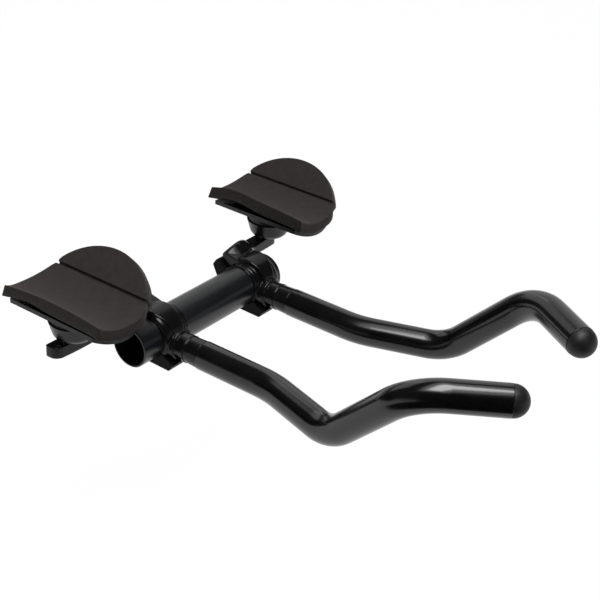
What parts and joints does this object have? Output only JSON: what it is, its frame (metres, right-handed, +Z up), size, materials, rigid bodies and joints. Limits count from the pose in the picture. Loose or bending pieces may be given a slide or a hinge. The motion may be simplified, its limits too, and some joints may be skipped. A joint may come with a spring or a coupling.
{
  "type": "aero handlebar extension",
  "caption": "Bent round extension tubes on split bar clamps, with dished padded armrests on short arms, carried by a short round bar.",
  "frame": {"origin": "on the axis of the base bar, midway between the two extensions", "axes": "+Y along the bar towards the rider's left, +X forward along the extensions, +Z up"},
  "size_m": [0.3822, 0.3094, 0.0951],
  "materials": {
    "bar_black": "satin",
    "forged_black": "satin gloss",
    "gloss_tube": "gloss",
    "dark_steel": "black oxide",
    "plug_black": "satin",
    "riser_black": "gloss",
    "tray_grey": "satin",
    "hook_black": "hook pile",
    "pad_foam": "closed cell foam"
  },
  "bodies": {
    "root": {"base_bar": "bar_black", "left_bracket": "forged_black", "left_clamp_cap": "forged_black", "left_clamp_bolts": "dark_steel", "left_extension": "gloss_tube", "left_end_plug": "plug_black", "left_armrest_riser": "riser_black", "left_armrest_tray": "tray_grey", "left_armrest_screw": "dark_steel", "left_hook_tape": "hook_black", "left_armrest_pad": "pad_foam", "right_bracket": "forged_black", "right_clamp_cap": "forged_black", "right_clamp_bolts": "dark_steel", "right_extension": "gloss_tube", "right_end_plug": "plug_black", "right_armrest_riser": "riser_black", "right_armrest_tray": "tray_grey", "right_armrest_screw": "dark_steel", "right_hook_tape": "hook_black", "right_armrest_pad": "pad_foam"}
  },
  "joints": []
}
